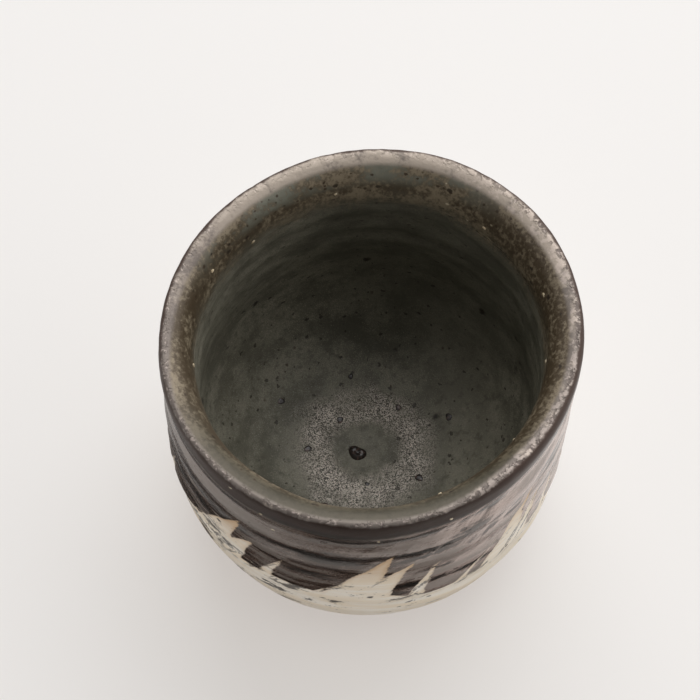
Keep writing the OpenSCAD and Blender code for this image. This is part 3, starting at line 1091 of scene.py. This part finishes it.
# Camera, from where the lip's circle lies in the photograph's 700 pixels
IMAGE_SIDE = 700
RIM_PIXEL = (371.7, 333.7)
RIM_R_PIXELS = 211.4
VIEW_RISE = math.radians(65)
VIEW_ROLL = math.radians(3.2)
VIEW_DISTANCE = 12 * RIM_R * MM
RIM_LINE_SHARE = 0.4
SENSOR = 36


def set_camera():
    """Looks down at the cup so that the lip's circle falls where it does in the photograph."""
    data = bpy.data.cameras.new("camera")
    data.sensor_width = SENSOR
    data.lens = SENSOR * RIM_R_PIXELS / (RIM_R * MM) * VIEW_DISTANCE / IMAGE_SIDE
    middle = Vector((0, 0, (LIP_H + RIM_LINE_SHARE * LIP_RISE) * MM))
    back = Vector((0, -math.cos(VIEW_RISE), math.sin(VIEW_RISE)))
    level = Vector((1, 0, 0))
    rise = back.cross(level)
    right = level * math.cos(VIEW_ROLL) + rise * math.sin(VIEW_ROLL)
    up = rise * math.cos(VIEW_ROLL) - level * math.sin(VIEW_ROLL)
    pixel = RIM_R * MM / RIM_R_PIXELS
    aim = middle + right * (IMAGE_SIDE / 2 - RIM_PIXEL[0]) * pixel
    aim = aim + up * (RIM_PIXEL[1] - IMAGE_SIDE / 2) * pixel
    eye = middle + back * VIEW_DISTANCE
    look = (eye - aim).normalized()
    side = (right - look * right.dot(look)).normalized()
    turn = Matrix((side, look.cross(side), look)).transposed()
    camera = bpy.data.objects.new("camera", data)
    camera.matrix_world = Matrix.Translation(eye) @ turn.to_4x4()
    bpy.context.collection.objects.link(camera)
    bpy.context.scene.camera = camera


# Stage: lengths in millimetres, but metres for the lights
FLOOR_R = 2500
FLOOR_PAPER = (0.435, 0.44, 0.445)
FLOOR_PAPER_PALE = (0.45, 0.455, 0.46)
FLOOR_GLOW = 0.42
ROOM_AND_SHADE_BLACK = (0.02, 0.017, 0.015, 1)
ROOM_TINT = (1, 0.985, 0.965, 1)
ROOM_LIGHT = 0.56
MATT = 0.95
SHADE_INNER_R = 30
SHADE_OUTER_R = 64
SHADE_START = -260
SHADE_END = 25
SHADE_H = 1
ROOM_LEFT = -520
ROOM_RIGHT = 380
DARK_WALL = [(-84, SHADE_H), (-430, SHADE_H), (-620, 420)]
DARK_CEILING = [(-620, 420), (-560, 760), (-260, 1000)]
LIGHT_AIM = (0, 0, 0.04)
WINDOW = {"at": (0.14, 0.80, 0.92), "size": 1.4, "power": 12}
SIDE_WINDOW = {"at": (0.95, 0.16, 0.74), "size": 1.2, "power": 2.5}


def soft_light(name, at, size, power):
    """A round soft light that faces the cup."""
    data = bpy.data.lights.new(name, "AREA")
    data.shape = "DISK"
    data.size = size
    data.energy = power
    light = bpy.data.objects.new(name, data)
    light.location = at
    light.rotation_euler = (Vector(at) - Vector(LIGHT_AIM)).to_track_quat("Z", "Y").to_euler()
    light.visible_camera = False
    bpy.context.collection.objects.link(light)


def stage_sheet(name, points, faces, material):
    """A flat thing round the cup that isn't part of it."""
    mesh = bpy.data.meshes.new(name)
    mesh.from_pydata([Vector(p) * MM for p in points], [], faces)
    mesh.materials.append(material)
    sheet = bpy.data.objects.new(name, mesh)
    bpy.context.collection.objects.link(sheet)
    return sheet


def round_sheet(inner, outer, start, end, height, columns=96):
    """Points and faces of a ring that lies flat. A part of a ring tapers towards its ends."""
    points = []
    for i in range(columns + 1):
        turn = math.radians(start + (end - start) * i / columns)
        wide = outer - inner
        if end - start < 360:
            wide = wide * math.sin(math.pi * i / columns)
        points += [(r * math.cos(turn), r * math.sin(turn), height) for r in (inner, inner + wide)]
    return points, [(2 * i, 2 * i + 1, 2 * i + 3, 2 * i + 2) for i in range(columns)]


def only_mirrored(sheet, in_diffuse=False):
    """Leaves a sheet to reflections alone, or to bounced light as well."""
    sheet.visible_camera = False
    sheet.visible_diffuse = in_diffuse
    sheet.visible_shadow = False


def set_stage():
    """A wide pale floor, soft lights, a room that is dark near the viewer, and a black ring round the foot
    as painted shade in reflections.
    """
    f = Finish("floor_paper")
    cloud = f.noise(f.place(), (300, 300, 300), 2)
    paper = f.mix(cloud, FLOOR_PAPER, FLOOR_PAPER_PALE)
    floor = round_sheet(0, FLOOR_R, 0, 360, 0)
    stage_sheet("floor", *floor, f.close(paper, MATT, cloud, 0.0, FLOOR_GLOW))

    black = Finish("room_and_shade_black").close(ROOM_AND_SHADE_BLACK, MATT, 0.0)
    # A black ring round the foot, seen only in reflections: painted shade of the floor under the cup.
    shade = round_sheet(SHADE_INNER_R, SHADE_OUTER_R, SHADE_START, SHADE_END, SHADE_H)
    only_mirrored(stage_sheet("shade", *shade, black))
    for name, rows, in_diffuse in (("dark_wall", DARK_WALL, False), ("dark_ceiling", DARK_CEILING, True)):
        points = [(x, y, z) for y, z in rows for x in (ROOM_LEFT, ROOM_RIGHT)]
        faces = [(2 * i, 2 * i + 1, 2 * i + 3, 2 * i + 2) for i in range(len(rows) - 1)]
        only_mirrored(stage_sheet(name, points, faces, black), in_diffuse)

    world = bpy.data.worlds.new("room")
    world.use_nodes = True
    world.node_tree.nodes["Background"].inputs[0].default_value = ROOM_TINT
    world.node_tree.nodes["Background"].inputs[1].default_value = ROOM_LIGHT
    bpy.context.scene.world = world
    soft_light("window", **WINDOW)
    soft_light("side_window", **SIDE_WINDOW)


set_camera()
set_stage()
bpy.context.scene.view_settings.view_transform = "Standard"
